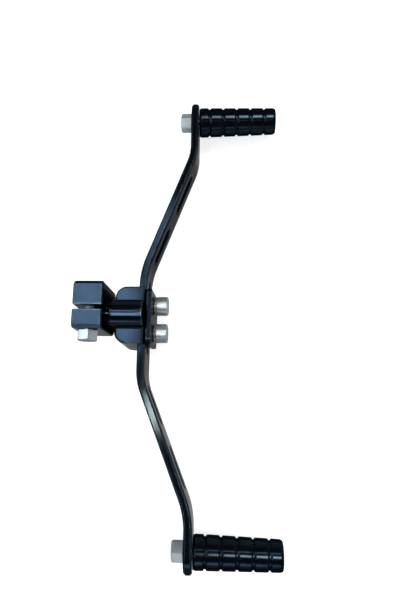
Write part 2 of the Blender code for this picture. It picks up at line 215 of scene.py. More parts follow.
def painted_edge_highlight(tree, place, width):
    """1 on outer edges, in patches: where a painted highlight in a pale colour stands in for the
    light the edges catch.
    """
    eased = add_node(tree, "ShaderNodeBevel", settings={"samples": 6}, values={"Radius": width})
    plain = add_node(tree, "ShaderNodeNewGeometry")
    bend = add_node(
        tree,
        "ShaderNodeVectorMath",
        settings={"operation": "DOT_PRODUCT"},
        links={0: eased.outputs["Normal"], 1: plain.outputs["Normal"]},
    )
    # from a bend of 6 degrees to one of 22
    highlit_edge = add_node(
        tree,
        "ShaderNodeMapRange",
        values={"From Min": 0.995, "From Max": 0.93, "To Min": 0.0, "To Max": 1.0},
        links={"Value": bend.outputs["Value"]},
    )
    patches = add_node(
        tree,
        "ShaderNodeTexNoise",
        values={"Scale": 1 / (6 * MM), "Detail": 3.0, "Roughness": 0.6},
        links={"Vector": place},
    )
    kept = add_node(
        tree,
        "ShaderNodeMapRange",
        values={"From Min": 0.35, "From Max": 0.6, "To Min": 0.35, "To Max": 1.0},
        links={"Value": patches.outputs["Fac"]},
    )
    return add_node(
        tree,
        "ShaderNodeMath",
        settings={"operation": "MULTIPLY"},
        links={0: highlit_edge.outputs["Result"], 1: kept.outputs["Result"]},
    ).outputs[0]


def finish_metal(tree, colour, source, span, gloss, relief, strength, metallic, grazing):
    """Ends a metal's tree.

    Where source runs through span, the roughness runs through gloss. Relief gives the bump, and
    grazing is the metal's tint where it is seen nearly edge on.
    """
    roughness = add_node(
        tree,
        "ShaderNodeMapRange",
        values={"From Min": span[0], "From Max": span[1], "To Min": gloss[0], "To Max": gloss[1]},
        links={"Value": source},
    )
    bump = add_node(
        tree,
        "ShaderNodeBump",
        values={"Strength": strength, "Distance": RELIEF_DEPTH},
        links={"Height": relief},
    )
    shader = add_node(
        tree,
        "ShaderNodeBsdfPrincipled",
        values={"Metallic": metallic, "Specular Tint": linear(grazing)},
        links={
            "Base Color": colour,
            "Roughness": roughness.outputs["Result"],
            "Normal": bump.outputs["Normal"],
        },
    )
    add_node(tree, "ShaderNodeOutputMaterial", links={"Surface": shader.outputs["BSDF"]})


def satin_black_anodised_aluminium(tree, place, colours):
    """6061 aluminium, bead blasted and dyed black in the anodising bath.

    The eye sees a cold black metal with a soft sheen: the blasting leaves a fine even grain, so
    reflections are a little blurred, and the dye takes unevenly, which shows as faint clouds.
    Along the edges a painted highlight, a pale colour mixed into the dye, draws them as fine pale
    lines.
    """
    stops = dye_stops(colours.satin_black, 0.8, 1.18)
    _, tint = cloudy_tint(tree, place, 12 * MM, stops, 0.55)
    # painted highlight: the dye, with a pale #74858e mixed in along every outer edge
    dye_with_edge_highlight = add_node(
        tree,
        "ShaderNodeMix",
        settings={"data_type": "RGBA"},
        links={"Factor": painted_edge_highlight(tree, place, 0.45 * MM)},
    )
    # a colour mix has its two colours in sockets 6 and 7 and its result in socket 2
    tree.links.new(tint, dye_with_edge_highlight.inputs[6])
    # the pale colour of the painted edge highlight
    dye_with_edge_highlight.inputs[7].default_value = linear("#74858e")
    # real beads leave pits of 0.1 mm, drawn at 0.45 mm so that they show
    grain = add_node(
        tree,
        "ShaderNodeTexNoise",
        values={"Scale": 1 / (0.45 * MM), "Detail": 2.0, "Roughness": 0.6},
        links={"Vector": place},
    ).outputs["Fac"]
    finish_metal(
        tree, dye_with_edge_highlight.outputs[2], grain, (0.3, 0.7), (0.08, 0.13), grain, 0.16, 0.95, "#a6a6a4"
    )


def gloss_black_anodised_aluminium(tree, place, colours):
    """Turned aluminium bar, polished and then dyed black.

    The eye sees a wet looking blue black with crisp light lines. The lathe tool leaves very fine
    rings, which blur a reflection along the peg a little more than around it.
    """
    # tool rings: the real feed is about 0.1 mm, drawn at 0.5 mm so that it shows
    rings = add_node(
        tree,
        "ShaderNodeTexWave",
        settings={"wave_type": "BANDS", "bands_direction": "X", "wave_profile": "SIN"},
        values={"Scale": 1 / (20 * 0.5 * MM) * math.tau / 2, "Distortion": 0.6, "Detail": 1.0},
        links={"Vector": place},
    ).outputs["Fac"]
    clouds, tint = cloudy_tint(tree, place, 7 * MM, dye_stops(colours.gloss_black, 0.75, 1.2))
    finish_metal(tree, tint, clouds, (0.2, 0.8), (0.12, 0.18), rings, 0.08, 0.95, "#2a2b2d")


def clear_zinc_plated_steel(tree, place, colours):
    """Steel fasteners with bright zinc plating and a clear passivation.

    The eye sees a pale silver metal with a slightly milky shine, and a hint of blue and yellow
    where the passivation is thicker or thinner.
    """
    red, green, blue = colours.zinc[:3]
    stops = (
        (0.28, (red * 0.86, green * 0.92, blue * 0.99, 1.0)),
        (0.5, (red, green, blue, 1.0)),
        (0.72, (min(1.0, red * 1.08), min(1.0, green * 1.05), blue * 0.98, 1.0)),
    )
    clouds, tint = cloudy_tint(tree, place, 3.5 * MM, stops)
    # plating crystals are far finer, drawn at 0.3 mm so that they show
    grain = add_node(
        tree,
        "ShaderNodeTexNoise",
        values={"Scale": 1 / (0.3 * MM), "Detail": 2.0, "Roughness": 0.6},
        links={"Vector": place},
    ).outputs["Fac"]
    finish_metal(tree, tint, clouds, (0.3, 0.7), (0.34, 0.46), grain, 0.1, 1.0, "#7c8084")


# The record's slots, with the name and the maker of each one's material
FINISHES = {
    "black_aluminium": ("bead blasted black anodised aluminium", satin_black_anodised_aluminium),
    "gloss_black_peg": (
        "turned and polished black anodised aluminium",
        gloss_black_anodised_aluminium,
    ),
    "zinc_steel": ("clear zinc plated steel", clear_zinc_plated_steel),
}


def finish_for(slot):
    """The scene's one copy of a slot's material."""
    name, maker = FINISHES[slot]
    made = bpy.data.materials.get(name)
    if not made:
        made, tree = new_material(name)
        place = add_node(tree, "ShaderNodeTexCoord").outputs["Object"]
        maker(tree, place, bpy.context.scene.lever_colours)
    return made


# Outline helpers: points are in millimetres


def circle(radius, count):
    step = math.tau / count
    return [(radius * math.cos(i * step), radius * math.sin(i * step)) for i in range(count)]


def quarter_round(u, v, radius, first):
    """A quarter of a circle about (u, v), anticlockwise from first degrees."""
    angles = [math.radians(first + 5 * i) for i in range(19)]
    return [(u + radius * math.cos(angle), v + radius * math.sin(angle)) for angle in angles]


def rectangle(left, low, right, high):
    return [(left, low), (right, low), (right, high), (left, high)]


def turns(points):
    """Each point of a closed outline, with the way into it and the way out of it."""
    for i in range(len(points)):
        here = Vector(points[i])
        yield i, here, here - Vector(points[i - 1]), Vector(points[(i + 1) % len(points)]) - here


def sharp_corners(points):
    """The places in an outline where it turns by more than 12 degrees."""
    return {i for i, _, into, out in turns(points) if into.angle(out) > math.radians(12.0)}


def rounded(points, radius, corners):
    """The outline with an arc at each of these corners."""
    made = []
    for i, here, into, out in turns(points):
        if i not in corners:
            made.append(tuple(here))
            continue
        cut = min(radius * math.tan(into.angle(out) / 2), into.length * 0.45, out.length * 0.45)
        start = here - into.normalized() * cut
        end = here + out.normalized() * cut
        for k in range(4):
            share = k / 3
            # a quadratic curve stays inside the corner and leaves both walls smoothly
            point = start * (1 - share) ** 2 + here * (2 * share * (1 - share)) + end * share**2
            made.append(tuple(point))
    return made


def inset(points, amount):
    """The outline moved inward; the points run anticlockwise."""
    made = []
    for _, here, into, out in turns(points):
        first, second = into.normalized(), out.normalized()
        normal = Vector((-first.y - second.y, first.x + second.x)).normalized()
        share = max(0.5, normal.dot(Vector((-first.y, first.x))))
        made.append(tuple(here + normal * (amount / share)))
    return made


def edge_levels(low, high, chamfer, radius):
    """(level, inset) pairs for a wall between two faces, with chamfered and softened edges."""
    corners = [
        (low, chamfer + 2 * radius),
        (low, chamfer),
        (low + chamfer, 0.0),
        (high - chamfer, 0.0),
        (high, chamfer),
        (high, chamfer + 2 * radius),
    ]
    return rounded(corners, radius, range(1, 5))


# Mesh helpers


def loft(rings, cap=True):
    """A solid through rings of equal count. A ring of one point closes that end."""
    bm = bmesh.new()
    made = [[bm.verts.new(Vector(p) * MM) for p in ring] for ring in rings]
    for first, second in zip(made, made[1:]):
        count = max(len(first), len(second))
        for i in range(count):
            j = (i + 1) % count
            if len(first) == 1:
                bm.faces.new((first[0], second[j], second[i]))
            elif len(second) == 1:
                bm.faces.new((first[i], first[j], second[0]))
            else:
                bm.faces.new((first[i], first[j], second[j], second[i]))
    if cap and len(made[0]) > 1:
        bm.faces.new(made[0])
    if cap and len(made[-1]) > 1:
        bm.faces.new(list(reversed(made[-1])))
    return bm


def lathe(profile, count, centre=(0.0, 0.0)):
    """A solid turned about X from (x, radius) pairs. A radius of nought closes that end."""
    rings = []
    for x, radius in profile:
        if radius <= 1e-9:
            rings.append([(x, centre[0], centre[1])])
        else:
            rings.append([(x, centre[0] + u, centre[1] + v) for u, v in circle(radius, count)])
    return loft(rings)


def add_object(name, data):
    made = bpy.data.objects.new(name, data)
    bpy.context.scene.collection.objects.link(made)
    return made


def make_object(name, bm):
    bmesh.ops.remove_doubles(bm, verts=bm.verts, dist=1e-7)
    bmesh.ops.recalc_face_normals(bm, faces=bm.faces)
    mesh = bpy.data.meshes.new(name)
    bm.to_mesh(mesh)
    bm.free()
    return add_object(name, mesh)


def combine(target, tools, operation):
    """Runs the tools on the target and keeps the result as its mesh."""
    for tool in tools:
        modifier = target.modifiers.new(operation.lower(), "BOOLEAN")
        modifier.operation = operation
        modifier.solver = "EXACT"
        modifier.object = tool
    bpy.context.view_layer.update()
    graph = bpy.context.evaluated_depsgraph_get()
    result = bpy.data.meshes.new_from_object(target.evaluated_get(graph))
    target.modifiers.clear()
    target.data = result
    for tool in tools:
        bpy.data.objects.remove(tool, do_unlink=True)
    if not result.polygons:
        raise RuntimeError(f"{target.name}: the {operation.lower()} left nothing")


def dress(obj, slot, node, sharp=28.0):
    """Gives a finished mesh its shading, material and place in the frame.

    Edges that turn by more than sharp degrees stay sharp.
    """
    bm = bmesh.new()
    bm.from_mesh(obj.data)
    bmesh.ops.remove_doubles(bm, verts=bm.verts, dist=2e-6)
    bmesh.ops.dissolve_degenerate(bm, edges=bm.edges, dist=1e-7)
    bm.to_mesh(obj.data)
    bm.free()
    obj.data.shade_smooth()
    obj.data.set_sharp_from_angle(angle=math.radians(sharp))
    weighted = obj.modifiers.new("face weighted shading", "WEIGHTED_NORMAL")
    weighted.keep_sharp = True
    obj.data.materials.clear()
    obj.data.materials.append(finish_for(slot))
    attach(obj, BODY)
    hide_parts(node)


# Where a section's (u, v) and its level along a straight piece go in the frame


def along_x(u, v, level):
    return (level, u, v)


def along_y(u, v, level):
    return (u, level, v)


def along_z(u, v, level):
    return (u, v, level)


def soft_prism(name, outline, place, low, high, chamfer, radius):
    """A prism whose two faces have a chamfer, with every edge rounded off by radius."""
    rings = []
    corners = sharp_corners(outline)
    for level, depth in edge_levels(low, high, chamfer, radius):
        ring = rounded(inset(outline, depth), radius * 1.5, corners)
        rings.append([place(u, v, level) for u, v in ring])
    return make_object(name, loft(rings))


# Cutters, each of which stands at least PAST clear of the face that it cuts
PAST = 1.0
HOLE_SPOKES = 64
HOLE_CHAMFER = 0.3


def straight_cutter(name, outline, place, low, high):
    rings = [[place(u, v, level) for u, v in outline] for level in (low, high)]
    return make_object(name, loft(rings))


def round_cutter(name, profile, place, centre):
    """A turned cutter from (level, radius) pairs."""
    rings = []
    for level, radius in profile:
        ring = circle(radius, HOLE_SPOKES)
        rings.append([place(centre[0] + u, centre[1] + v, level) for u, v in ring])
    return make_object(name, loft(rings))


def through_hole(low, high, radius, y):
    """Cuts a hole along X at the arm's height, chamfered where it meets both faces."""
    mouth = radius + (HOLE_CHAMFER + PAST)
    profile = (
        (low - PAST, mouth),
        (low + HOLE_CHAMFER, radius),
        (high - HOLE_CHAMFER, radius),
        (high + PAST, mouth),
    )
    return round_cutter("hole", profile, along_x, (y, ARM_Z))


def slit_edge_rod(start, end, across):
    """A square rod on its corner along one of the slit's edges: taken away, it chamfers it."""
    direction = (Vector(end) - Vector(start)).normalized()
    first = Vector(across)
    second = direction.cross(first)
    rings = []
    for point in (Vector(start), Vector(end)):
        offsets = (first, second, -first, -second)
        rings.append([tuple(point + offset * SLIT_EDGE) for offset in offsets])
    return make_object("edge_rod", loft(rings))


# Clamp, neck and block

CLAMP_LENGTH = 19.9
CLAMP_DRAFT = 1.1
CLAMP_TOP_Y = 16.7
CLAMP_LOW_Y = -13.3
CLAMP_FRONT_Z = 22.5
CLAMP_BACK_Z = -15.6
CLAMP_BACK_R = 4.5
EAR_CHAMFER = 2.2
SLIT_WIDTH = 3.0
SLIT_END_X = 21.0
SLIT_EDGE = 0.35
RIM_CHAMFER = 0.7
BORE_ROOT_R = 7.0
BORE_TIP_R = 6.3
BORE_DEPTH = 19.0
BORE_MOUTH_R = 7.9
NECK_R = 9.0
NECK_START_X = 17.0
NECK_END_X = 41.5
NECK_CHAMFER = 0.6
BLOCK_LEFT_X = 22.0
BLOCK_RIGHT_X = 41.0
BLOCK_HALF_Y = 19.0
BLOCK_FRONT_Z = -3.0
BLOCK_BACK_Z = -40.0
BLOCK_CORNER_R = 7.5
BLOCK_CHAMFER = 0.8
PINCH_X = 9.0
PINCH_Z = 14.2
PINCH_HOLE_TOP_Y = 14.6
TAPPED_HOLE_END_X = 25.0
TAPPED_CHAMFER = 0.5
CHANNEL_FLOOR_X = ARM_HUB_X - ARM_THICK / 2 - GAP


def clamp_outline():
    """The clamp from the side, (y, z), anticlockwise."""
    edge = EAR_CHAMFER
    back = CLAMP_BACK_Z + CLAMP_BACK_R
    return [
        (CLAMP_LOW_Y + edge, CLAMP_FRONT_Z),
        (CLAMP_LOW_Y, CLAMP_FRONT_Z - edge),
        *quarter_round(CLAMP_LOW_Y + CLAMP_BACK_R, back, CLAMP_BACK_R, 180),
        *quarter_round(CLAMP_TOP_Y - CLAMP_BACK_R, back, CLAMP_BACK_R, 270),
        (CLAMP_TOP_Y, CLAMP_FRONT_Z - edge),
        (CLAMP_TOP_Y - edge, CLAMP_FRONT_Z),
    ]


def end_face_x(z):
    """The clamp's end face leans a little, as a forged face does."""
    return CLAMP_LENGTH - CLAMP_DRAFT * (z - CLAMP_BACK_Z) / (CLAMP_FRONT_Z - CLAMP_BACK_Z)


def block_outline():
    """The block from the front, (x, y), anticlockwise."""
    left = BLOCK_LEFT_X + BLOCK_CORNER_R
    reach = BLOCK_HALF_Y - BLOCK_CORNER_R
    return [
        (BLOCK_RIGHT_X, -BLOCK_HALF_Y),
        (BLOCK_RIGHT_X, BLOCK_HALF_Y),
        *quarter_round(left, reach, BLOCK_CORNER_R, 90),
        *quarter_round(left, -reach, BLOCK_CORNER_R, 180),
    ]


def serrated_ring(teeth):
    """The bore's outline: straight sided teeth with narrow lands."""
    points = []
    pitch = math.tau / teeth
    # each tooth's land, its flank, the root between two teeth, and the next flank
    tooth = ((0.0, BORE_TIP_R), (0.16, BORE_TIP_R), (0.5, BORE_ROOT_R), (0.66, BORE_ROOT_R))
    for i in range(teeth):
        for share, radius in tooth:
            angle = pitch * (i + share)
            points.append((radius * math.cos(angle), radius * math.sin(angle)))
    return points


class GEARLEVER_OT_clamp_hub(Operator):
    """Builds the split clamp with its neck and channel block as one machined piece"""

    bl_idname = "gear_lever.clamp_hub"
    bl_label = "Clamp hub"

    def execute(self, context):
        sizes = context.scene.lever_sizes
        radius = sizes.edge_radius / MM
        hub = soft_prism(
            "clamp_hub", clamp_outline(), along_x, 0.0, CLAMP_LENGTH, RIM_CHAMFER, radius
        )
        for vertex in hub.data.vertices:
            if vertex.co.x > CLAMP_LENGTH * MM / 2:
                vertex.co.x += (end_face_x(vertex.co.z / MM) - CLAMP_LENGTH) * MM
        block = soft_prism(
            "block", block_outline(), along_z, BLOCK_BACK_Z, BLOCK_FRONT_Z, BLOCK_CHAMFER, radius
        )
        neck_profile = (
            (NECK_START_X, NECK_R),
            (NECK_END_X - NECK_CHAMFER, NECK_R),
            (NECK_END_X, NECK_R - NECK_CHAMFER),
        )
        combine(block, [make_object("neck", lathe(neck_profile, 128))], "UNION")
        combine(hub, [block], "UNION")
        combine(hub, self.cutters(sizes.serrations), "DIFFERENCE")
        dress(hub, "black_aluminium", "hub_body")
        return {"FINISHED"}

    def cutters(self, teeth):
        """The slit, the serrated bore, the screws' holes, the arm's channel and broken edges."""
        half = SLIT_WIDTH / 2
        left = -2 * PAST
        top = CLAMP_FRONT_Z + 2 * PAST
        mouth = ((-PAST, BORE_MOUTH_R + PAST), (BORE_MOUTH_R - BORE_TIP_R, BORE_TIP_R))
        wide = TAPPED_HOLE_R + (TAPPED_CHAMFER + PAST)
        pinch = (
            (CLAMP_LOW_Y - PAST, wide),
            (CLAMP_LOW_Y + TAPPED_CHAMFER, TAPPED_HOLE_R),
            (PINCH_HOLE_TOP_Y, TAPPED_HOLE_R),
        )
        channel_half = ARM_HALF_WIDTH + GAP
        channel = rectangle(
            CHANNEL_FLOOR_X, ARM_Z - channel_half, BLOCK_RIGHT_X + 3 * PAST, ARM_Z + channel_half
        )
        reach = BLOCK_HALF_Y + 3 * PAST
        made = [
            straight_cutter("slit", rectangle(-half, 0.0, half, top), along_x, left, SLIT_END_X),
            straight_cutter("bore", serrated_ring(teeth), along_x, left, BORE_DEPTH),
            make_object("mouth", lathe(mouth, 96)),
            round_cutter("pinch_hole", pinch, along_y, (PINCH_X, PINCH_Z)),
            straight_cutter("channel", channel, along_y, -reach, reach),
        ]
        tapped = (
            (TAPPED_HOLE_END_X, TAPPED_HOLE_R),
            (CHANNEL_FLOOR_X - TAPPED_CHAMFER, TAPPED_HOLE_R),
            (CHANNEL_FLOOR_X + PAST, wide),
            (BLOCK_RIGHT_X + 2 * PAST, wide),
        )
        made += [round_cutter("tapped_hole", tapped, along_x, (y, ARM_Z)) for y in MOUNT_YS]
        # broken edges along the slit: at the ears' front, at the open end and towards the neck
        for y in (half, -half):
            for start, end, across in (
                ((left, y, CLAMP_FRONT_Z), (SLIT_END_X, y, CLAMP_FRONT_Z), (0, 1, 0)),
                ((0.0, y, 0.0), (0.0, y, top), (1, 0, 0)),
                ((end_face_x(NECK_R), y, NECK_R), (end_face_x(top), y, top), (1, 0, 0)),
            ):
                made.append(slit_edge_rod(start, end, across))
        return made


# Arm

SLOT_CHAMFER = 0.5


def arm_line():
    """The bent middle line of the arm: pieces of (length, start, direction, turn), heel to toe."""
    places = (
        (HEEL_END_X, HEEL_PEG_Y),
        (HEEL_END_X, HEEL_BEND_OUT_Y),
        (ARM_HUB_X, HEEL_BEND_IN_Y),
        (ARM_HUB_X, TOE_BEND_IN_Y),
        (TOE_END_X, TOE_BEND_OUT_Y),
        (TOE_END_X, TOE_PEG_Y),
    )
    corners = [Vector(place) for place in places]
    pieces = []
    here = corners[0]
    for i in range(1, 5):
        into = (corners[i] - corners[i - 1]).normalized()
        out = (corners[i + 1] - corners[i]).normalized()
        turn = into.angle(out) * (1 if into.x * out.y - into.y * out.x > 0 else -1)
        radius = BEND_RADII[i - 1]
        start = corners[i] - into * (radius * math.tan(abs(turn) / 2))
        pieces.append(((start - here).length, here, into, 0.0))
        pieces.append((radius * abs(turn), start, into, turn))
        here = corners[i] + out * (radius * math.tan(abs(turn) / 2))
    rest = corners[5] - here
    pieces.append((rest.length, here, rest.normalized(), 0.0))
    return pieces


def along_line(pieces, distance):
    """The point and direction at a distance along the line; it runs on straight past both ends."""
    if distance < 0:
        _, start, direction, _ = pieces[0]
        return start + direction * distance, direction
    for i, (length, start, direction, turn) in enumerate(pieces):
        last = i == len(pieces) - 1
        if distance <= length or last:
            if turn == 0.0:
                return start + direction * distance, direction
            radius = length / abs(turn)
            side = 1 if turn > 0 else -1
            centre = start + Vector((-direction.y, direction.x)) * (radius * side)
            angle = turn * distance / length
            cos_a, sin_a = math.cos(angle), math.sin(angle)
            spoke, heading = (
                Vector((v.x * cos_a - v.y * sin_a, v.x * sin_a + v.y * cos_a))
                for v in (start - centre, direction)
            )
            return centre + spoke, heading
        distance -= length
    raise ValueError("the line has no pieces")


def middle_at(pieces, y):
    """The line's point at this Y, found by halving."""
    low, high = 0.0, sum(piece[0] for piece in pieces)
    for _ in range(40):
        half = (low + high) / 2
        if along_line(pieces, half)[0].y < y:
            low = half
        else:
            high = half
    return along_line(pieces, low)[0]


def arm_stations(pieces):
    """(distance, cap angle, cap side) for each cross section, with full rounds at both ends."""
    stations = [(0.0, math.radians(90 - a), -1) for a in range(0, 90, 5)]
    run = 0.0
    stations.append((0.0, 0.0, 0))
    for length, _, _, turn in pieces:
        count = 20 if turn else max(1, round(length / 12))
        for k in range(1, count + 1):
            stations.append((run + length * k / count, 0.0, 0))
        run += length
    stations += [(run, math.radians(a), 1) for a in range(5, 91, 5)]
    return stations


def slot_cutter(pieces, span, width):
    """A lightening slot through the arm, with round ends and chamfered mouths."""
    start = middle_at(pieces, min(span))
    end = middle_at(pieces, max(span))
    direction = (end - start).normalized()
    normal = Vector((direction.y, -direction.x))
    middle = (start + end) / 2
    half_length = (end - start).length / 2
    thick = ARM_THICK / 2
    rings = []
    for level, more in (
        (-thick - PAST, SLOT_CHAMFER + PAST),
        (SLOT_CHAMFER - thick, 0.0),
        (thick - SLOT_CHAMFER, 0.0),
        (thick + PAST, SLOT_CHAMFER + PAST),
    ):
        radius = width / 2 + more
        ring = []
        for side in (1, -1):
            for a in range(0, 181, 6):
                angle = math.radians(a - 90)
                u = side * (half_length - width / 2 + radius * math.cos(angle))
                v = side * radius * math.sin(angle)
                x = middle.x + direction.x * u + normal.x * level
                y = middle.y + direction.y * u + normal.y * level
                ring.append((x, y, ARM_Z + v))
        rings.append(ring)
    return make_object("slot", loft(rings))


class GEARLEVER_OT_arm(Operator):
    """Builds the bent flat arm with its broken edges, lightening slots and bolt holes"""

    bl_idname = "gear_lever.arm"
    bl_label = "Lever arm"

    def execute(self, context):
        sizes = context.scene.lever_sizes
        chamfer = sizes.arm_chamfer / MM
        pieces = arm_line()
        edge = edge_levels(-ARM_THICK / 2, ARM_THICK / 2, chamfer, sizes.edge_radius / MM)
        rings = []
        for distance, angle, side in arm_stations(pieces):
            ring = []
            for half in (1, -1):
                for level, depth in edge if half == 1 else reversed(edge):
                    radius = ARM_HALF_WIDTH - depth
                    reach = side * radius * math.sin(angle)
                    point, direction = along_line(pieces, distance + reach)
                    normal = Vector((direction.y, -direction.x))
                    x = point.x + normal.x * level
                    y = point.y + normal.y * level
                    ring.append((x, y, ARM_Z + half * radius * math.cos(angle)))
            rings.append(ring)
        arm = make_object("bent_arm", loft(rings, cap=False))
        width = sizes.slot_width / MM
        cutters = [slot_cutter(pieces, span, width) for span in SLOT_SPANS_Y]
        holes = [(ARM_HUB_X, y, HUB_SLOT_R) for y in HUB_SLOTS_Y]
        holes += [(ARM_HUB_X, y, SCREW_CLEARANCE_R) for y in MOUNT_YS]
        holes += [(TOE_END_X, TOE_PEG_Y, TAPPED_HOLE_R), (HEEL_END_X, HEEL_PEG_Y, TAPPED_HOLE_R)]
        thick = ARM_THICK / 2
        for x, y, radius in holes:
            cutters.append(through_hole(x - thick, x + thick, radius, y))
        combine(arm, cutters, "DIFFERENCE")
        dress(arm, "black_aluminium", "lever_arm")
        return {"FINISHED"}


# Cover plate

PLATE_THICK = 3.6
PLATE_HALF_Y = 18.2
PLATE_FRONT_Z = -4.0
PLATE_BACK_Z = -40.0
PLATE_CORNER_R = 3.0
PLATE_CHAMFER = 0.5
PLATE_EDGE_R = 0.2
PLATE_RIGHT = PLATE_LEFT + PLATE_THICK


class GEARLEVER_OT_cover_plate(Operator):
    """Builds the plate that holds the arm in the block's channel"""

    bl_idname = "gear_lever.cover_plate"
    bl_label = "Cover plate"

    def execute(self, context):
        middle_z = (PLATE_FRONT_Z + PLATE_BACK_Z) / 2
        reach_y = PLATE_HALF_Y - PLATE_CORNER_R
        reach_z = (PLATE_FRONT_Z - PLATE_BACK_Z) / 2 - PLATE_CORNER_R
        outline = []
        for side_y, side_z, first in ((1, 1, 0), (-1, 1, 90), (-1, -1, 180), (1, -1, 270)):
            outline += quarter_round(side_y * reach_y, side_z * reach_z, PLATE_CORNER_R, first)
        plate = soft_prism(
            "cover_plate_finish",
            outline,
            lambda u, v, level: (level, u, middle_z + v),
            PLATE_LEFT,
            PLATE_RIGHT,
            PLATE_CHAMFER,
            PLATE_EDGE_R,
        )
        holes = [through_hole(PLATE_LEFT, PLATE_RIGHT, SCREW_CLEARANCE_R, y) for y in MOUNT_YS]
        combine(plate, holes, "DIFFERENCE")
        dress(plate, "black_aluminium", "cover_plate")
        return {"FINISHED"}


# Foot pegs

PEG_LENGTH = 55.0
PEG_ROOT_R = 10.3
PEG_TIP_R = 9.1
PEG_BARREL = 0.28
PEG_EDGE_R = 1.3
PEG_HOLE_DEPTH = 24.0
PEG_SPOKES = 144
FIRST_GROOVE = 7.3
GROOVE_PITCH = 9.85
GROOVES = 5
GROOVE_LIP = 0.25
GROOVE_SINK = 0.08


def peg_radius(x):
    """The taper from the root to the tip, without the lands' crown."""
    return PEG_ROOT_R + (PEG_TIP_R - PEG_ROOT_R) * x / PEG_LENGTH


def peg_profile(half_width, depth):
    """(x, radius) pairs from the middle of the root's screw hole to the middle of the tip."""
    # the drill's point, the hole, its chamfered mouth, the flat end and its rounded edge
    profile = [(PEG_HOLE_DEPTH + 2.0, 0.0), (PEG_HOLE_DEPTH, TAPPED_HOLE_R), (0.5, TAPPED_HOLE_R)]
    profile += [(0.0, TAPPED_HOLE_R + 0.5), (0.0, PEG_ROOT_R - 0.7)]
    profile += [(0.15, PEG_ROOT_R - 0.3), (0.5, PEG_ROOT_R - 0.1)]
    grooves = [FIRST_GROOVE + i * GROOVE_PITCH for i in range(GROOVES)]
    bounds = [0.0, *grooves, PEG_LENGTH]
    for i, (low, high) in enumerate(zip(bounds, bounds[1:])):
        start = low + half_width + GROOVE_LIP if i else 1.0
        stop = high - half_width - GROOVE_LIP if i < GROOVES else PEG_LENGTH - PEG_EDGE_R
        for k in range(25):
            # a flat land whose ends roll off into the grooves
            across = math.sin(math.radians(7.5 * k - 90))
            x = (start + stop) / 2 + (stop - start) / 2 * across
            profile.append((x, peg_radius(x) + PEG_BARREL * (1 - across**20)))
        if i < GROOVES:
            for k in range(13):
                # the grooving tool is flat with rounded corners
                across = -1 + k / 6
                cut = depth * math.sqrt(max(0.0, 1 - across**6))
                profile.append((high + across * half_width, peg_radius(high) - GROOVE_SINK - cut))
    edge = peg_radius(PEG_LENGTH - PEG_EDGE_R)
    for k in range(1, 10):
        turn = math.radians(10 * k)
        x = PEG_LENGTH - PEG_EDGE_R + PEG_EDGE_R * math.sin(turn)
        profile.append((x, edge - PEG_EDGE_R * (1 - math.cos(turn))))
    profile.append((PEG_LENGTH, 0.0))
    return profile


class GEARLEVER_OT_foot_pegs(Operator):
    """Turns the two grooved foot pegs"""

    bl_idname = "gear_lever.foot_pegs"
    bl_label = "Foot pegs"

    def execute(self, context):
        sizes = context.scene.lever_sizes
        profile = peg_profile(sizes.groove_half_width / MM, sizes.groove_depth / MM)
        for node in ("toe_peg", "heel_peg"):
            low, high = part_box(node)
            root = low.x / MM
            centre = ((low.y + high.y) / 2 / MM, (low.z + high.z) / 2 / MM)
            turned = lathe([(root + x, radius) for x, radius in profile], PEG_SPOKES, centre)
            dress(make_object(f"{node}_turned", turned), "gloss_black_peg", node, 40.0)
        return {"FINISHED"}


# Screws and bolts

SCREW_R = 4.0
SCREW_LENGTH = 20.0
# the thread's depth as a share of its pitch, and the chamfer at a screw's end
THREAD_DEPTH = 0.58
POINT_LENGTH = 0.8
SCREW_HEAD_R = 6.5
SCREW_HEAD_HEIGHT = 7.6
SOCKET_FLATS = 6.0
SOCKET_DEPTH = 4.4
WASHER_THICK = 1.3
WASHER_R = 6.2
WASHER_EDGE_R = 0.3
WASHER_RISE = 0.22
# nearly a full turn, in degrees, with the split at the top
WASHER_START = 94.3
WASHER_SWEEP = 351.4
WASHER_STEPS = 96
PEG_BOLT_HEAD = 7.6
PEG_BOLT_LENGTH = 26.0
PEG_BOLT_PLAIN = 7.0
PEG_BOLT_TURN = 30.0
PINCH_HEAD = 6.6
PINCH_LENGTH = 24.0
PINCH_PLAIN = 5.0
PINCH_TURN = 46.0
SPOKES = 72


def round_ring(x, radius):
    return [(x, u, v) for u, v in circle(radius, SPOKES)]


def hexagon_ring(flats, turn, corner_radius=0.3):
    """SPOKES points round a hexagon with slightly rounded corners, evenly spaced in angle."""
    ring = []
    soft = (flats / 2 + corner_radius * 0.4) / math.cos(math.radians(30)) - corner_radius * 0.6
    for i in range(SPOKES):
        angle = math.tau * i / SPOKES
        past = (angle - math.radians(turn)) % math.radians(60) - math.radians(30)
        reach = min(flats / 2 / math.cos(past), soft)
        ring.append((reach * math.cos(angle), reach * math.sin(angle)))
    return ring


def thread_rings(start, end, pitch):
    """Rings of a coarse thread from start to end along X; it fades in and ends in a chamfer."""
    depth = pitch * THREAD_DEPTH
    rows = max(8, round((end - start) / pitch * 10))
    rings = []
    for k in range(rows + 1):
        x = start + (end - start) * k / rows
        fade = min(1.0, (x - start) / pitch, max(0.0, (end - x) / POINT_LENGTH) + 0.15)
        point = max(0.0, POINT_LENGTH - (end - x)) * 0.9
        ring = []
        for i in range(SPOKES):
            angle = math.tau * i / SPOKES
            phase = (x / pitch - i / SPOKES) % 1.0
            ridge = abs(2 * phase - 1)
            # slanted flanks between flat crests and roots
            cut = depth * min(1.0, max(0.0, ridge * 1.25 - 0.12))
            radius = SCREW_R - cut * min(1.0, fade * 1.4) - point
            ring.append((x, radius * math.cos(angle), radius * math.sin(angle)))
        rings.append(ring)
    return rings


def shank_rings(start, end, plain, pitch):
    """A plain part, then the thread, then a closed end."""
    rings = [round_ring(start, SCREW_R), round_ring(start + plain, SCREW_R)]
    rings += thread_rings(start + plain + 0.1, end, pitch)
    rings.append([(end, 0.0, 0.0)])
    return rings


